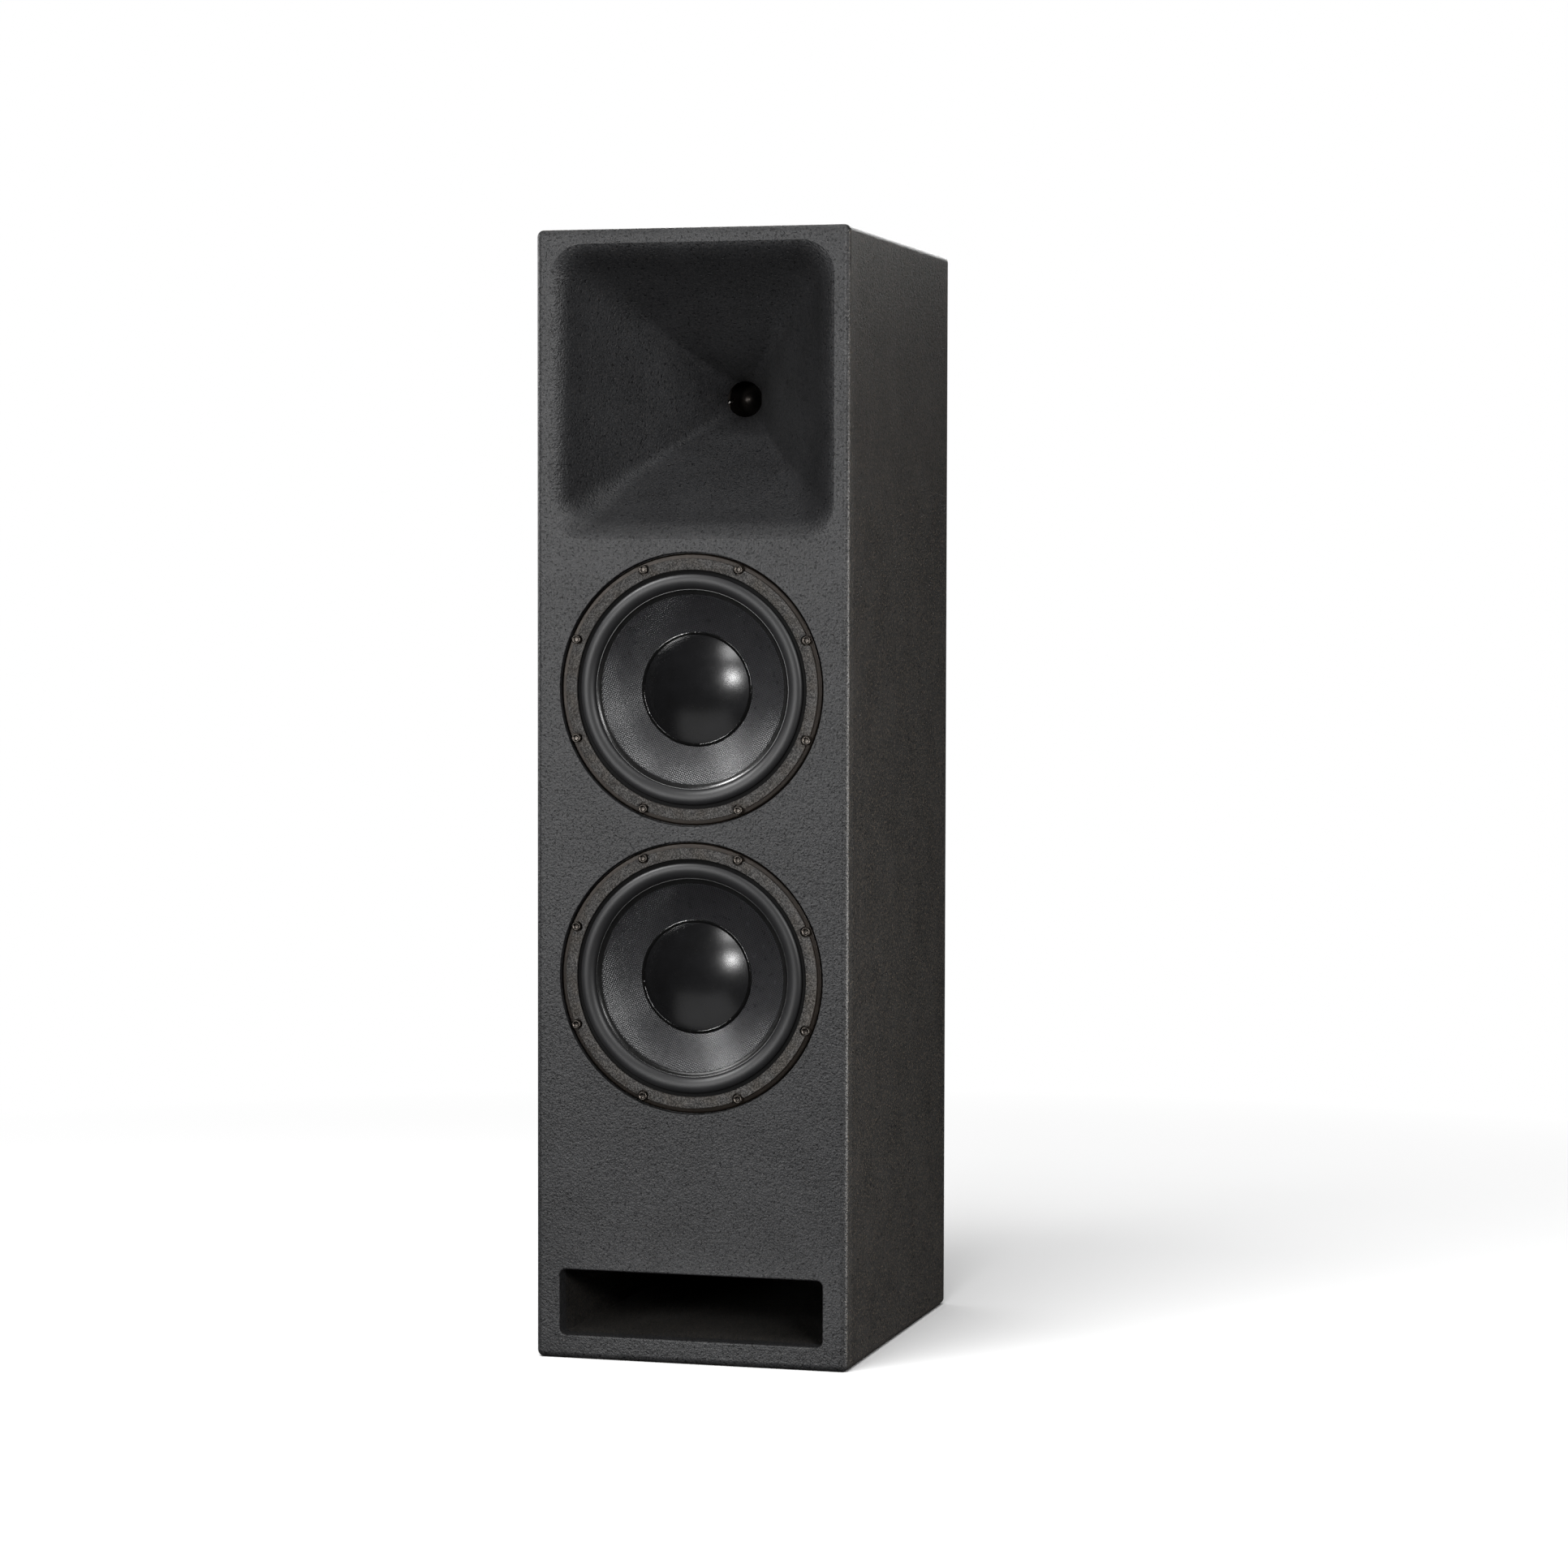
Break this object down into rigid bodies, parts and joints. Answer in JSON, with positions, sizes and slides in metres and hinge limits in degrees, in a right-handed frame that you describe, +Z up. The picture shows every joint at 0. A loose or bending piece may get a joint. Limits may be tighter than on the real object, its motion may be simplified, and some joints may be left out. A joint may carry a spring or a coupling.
{
  "type": "loudspeaker cabinet",
  "caption": "Tall slim floor-standing PA loudspeaker cabinet with a square horn, round woofers and a wide slot port at its foot, all in textured black.",
  "frame": {"origin": "middle of the base, on the floor", "axes": "+Z up, front face towards -Y, +X to the right seen from the front"},
  "size_m": [0.305, 0.4044, 1.067],
  "materials": {
    "textured_paint": "hard textured black coat, low sheen",
    "painted_board": "birch plywood under the same textured coat",
    "plywood": "bare birch plywood",
    "frame_metal": "dark brown-black coated die-cast frame",
    "gasket_board": "speckled grey-brown fibre board",
    "surround_rubber": "matt rubber",
    "woven_cone": "glossy black woven fibre cone",
    "cap_paper": "smooth satin black",
    "copper_coil": "enamelled copper wire",
    "spider_cloth": "resin-treated woven cloth",
    "plain_steel": "zinc-plated mild steel",
    "ferrite": "sintered ferrite",
    "black_steel": "black zinc-plated steel",
    "cast_aluminium": "machined aluminium",
    "titanium_foil": "titanium foil with a wound edge coil",
    "black_plastic": "moulded black plastic",
    "circuit_board": "green circuit board",
    "lead_sheath": "red sheathed two-core lead"
  },
  "bodies": {
    "cabinet": {"baffle": "textured_paint", "left_side_panel": "painted_board", "right_side_panel": "painted_board", "top_panel": "painted_board", "bottom_panel": "painted_board", "back_panel": "painted_board", "port_shelf": "plywood", "window_brace": "plywood", "horn": "textured_paint", "upper_woofer_basket": "frame_metal", "upper_woofer_gasket": "gasket_board", "upper_woofer_surround": "surround_rubber", "upper_woofer_spider": "spider_cloth", "upper_woofer_top_plate": "plain_steel", "upper_woofer_magnet": "ferrite", "upper_woofer_yoke": "plain_steel", "upper_woofer_screw_1": "black_steel", "upper_woofer_screw_2": "black_steel", "upper_woofer_screw_3": "black_steel", "upper_woofer_screw_4": "black_steel", "upper_woofer_screw_5": "black_steel", "upper_woofer_screw_6": "black_steel", "upper_woofer_screw_7": "black_steel", "upper_woofer_screw_8": "black_steel", "lower_woofer_basket": "frame_metal", "lower_woofer_gasket": "gasket_board", "lower_woofer_surround": "surround_rubber", "lower_woofer_spider": "spider_cloth", "lower_woofer_top_plate": "plain_steel", "lower_woofer_magnet": "ferrite", "lower_woofer_yoke": "plain_steel", "lower_woofer_screw_1": "black_steel", "lower_woofer_screw_2": "black_steel", "lower_woofer_screw_3": "black_steel", "lower_woofer_screw_4": "black_steel", "lower_woofer_screw_5": "black_steel", "lower_woofer_screw_6": "black_steel", "lower_woofer_screw_7": "black_steel", "lower_woofer_screw_8": "black_steel", "hf_pole_plate": "plain_steel", "hf_magnet": "ferrite", "hf_top_plate": "plain_steel", "hf_phase_plug": "cast_aluminium", "hf_rear_cover": "black_plastic", "input_plate": "black_steel", "left_input_socket": "black_plastic", "right_input_socket": "black_plastic", "crossover_board": "circuit_board", "crossover_inductor": "copper_coil", "crossover_capacitor": "black_plastic", "upper_woofer_lead": "lead_sheath", "lower_woofer_lead": "lead_sheath", "hf_lead": "lead_sheath"},
    "upper_cone_group": {"upper_woofer_cone": "woven_cone", "upper_woofer_dust_cap": "cap_paper", "upper_woofer_voice_coil": "copper_coil"},
    "lower_cone_group": {"lower_woofer_cone": "woven_cone", "lower_woofer_dust_cap": "cap_paper", "lower_woofer_voice_coil": "copper_coil"},
    "hf_diaphragm_group": {"hf_diaphragm": "titanium_foil"}
  },
  "joints": [
    {"name": "upper_woofer_stroke", "type": "slide", "parent": "cabinet", "child": "upper_cone_group", "axis": [0, -1, 0], "range_m": [-0.008, 0.008], "stiffness_N_per_m": 3500, "deforming": ["upper_woofer_surround", "upper_woofer_spider"]},
    {"name": "lower_woofer_stroke", "type": "slide", "parent": "cabinet", "child": "lower_cone_group", "axis": [0, -1, 0], "range_m": [-0.008, 0.008], "stiffness_N_per_m": 3500, "deforming": ["lower_woofer_surround", "lower_woofer_spider"]},
    {"name": "hf_diaphragm_stroke", "type": "slide", "parent": "cabinet", "child": "hf_diaphragm_group", "axis": [0, -1, 0], "range_m": [-0.0004, 0.0004], "stiffness_N_per_m": 8000}
  ]
}
